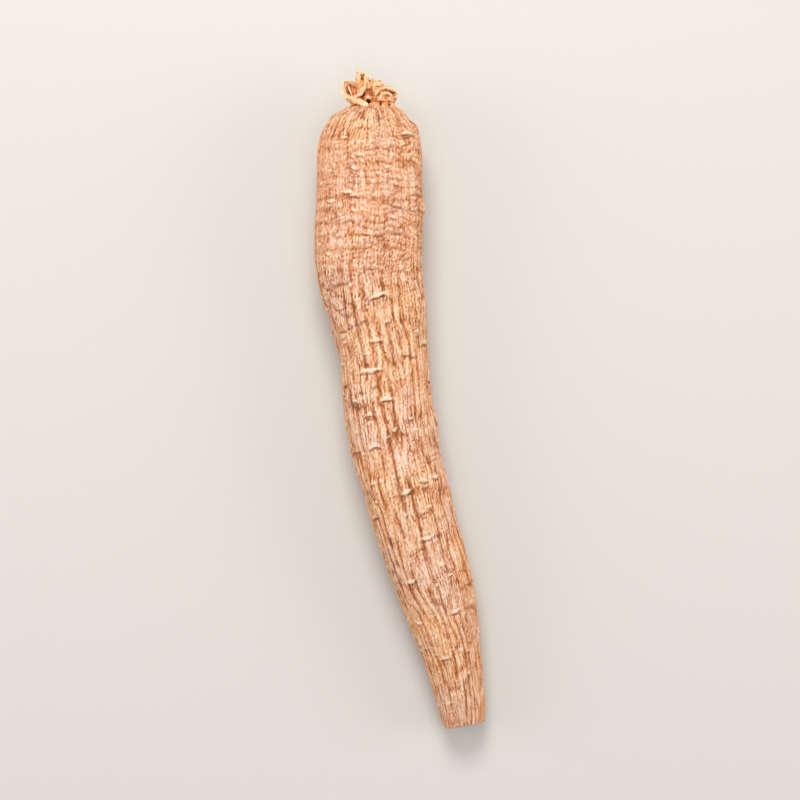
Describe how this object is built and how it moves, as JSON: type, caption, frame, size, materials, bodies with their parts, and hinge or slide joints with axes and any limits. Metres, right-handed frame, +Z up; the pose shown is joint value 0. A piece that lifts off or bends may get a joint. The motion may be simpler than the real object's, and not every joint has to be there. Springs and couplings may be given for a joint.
{
  "type": "dried ginseng root",
  "caption": "Whole dried ginseng root with a ringed upper part, long skin wrinkles, a short scarred neck and a trimmed tail, lying on its side.",
  "frame": {"origin": "middle of the underside, on the surface that the root lies on", "axes": "+Y along the root towards its neck, +Z up from the surface it lies on, +X to the right when seen from above with the neck away"},
  "size_m": [0.0263, 0.1017, 0.0147],
  "materials": {
    "root_skin": "dry matt wrinkled skin, pale tan on the ridges and brown in the furrows"
  },
  "bodies": {
    "root": {"ginseng_root": "root_skin"}
  },
  "joints": []
}
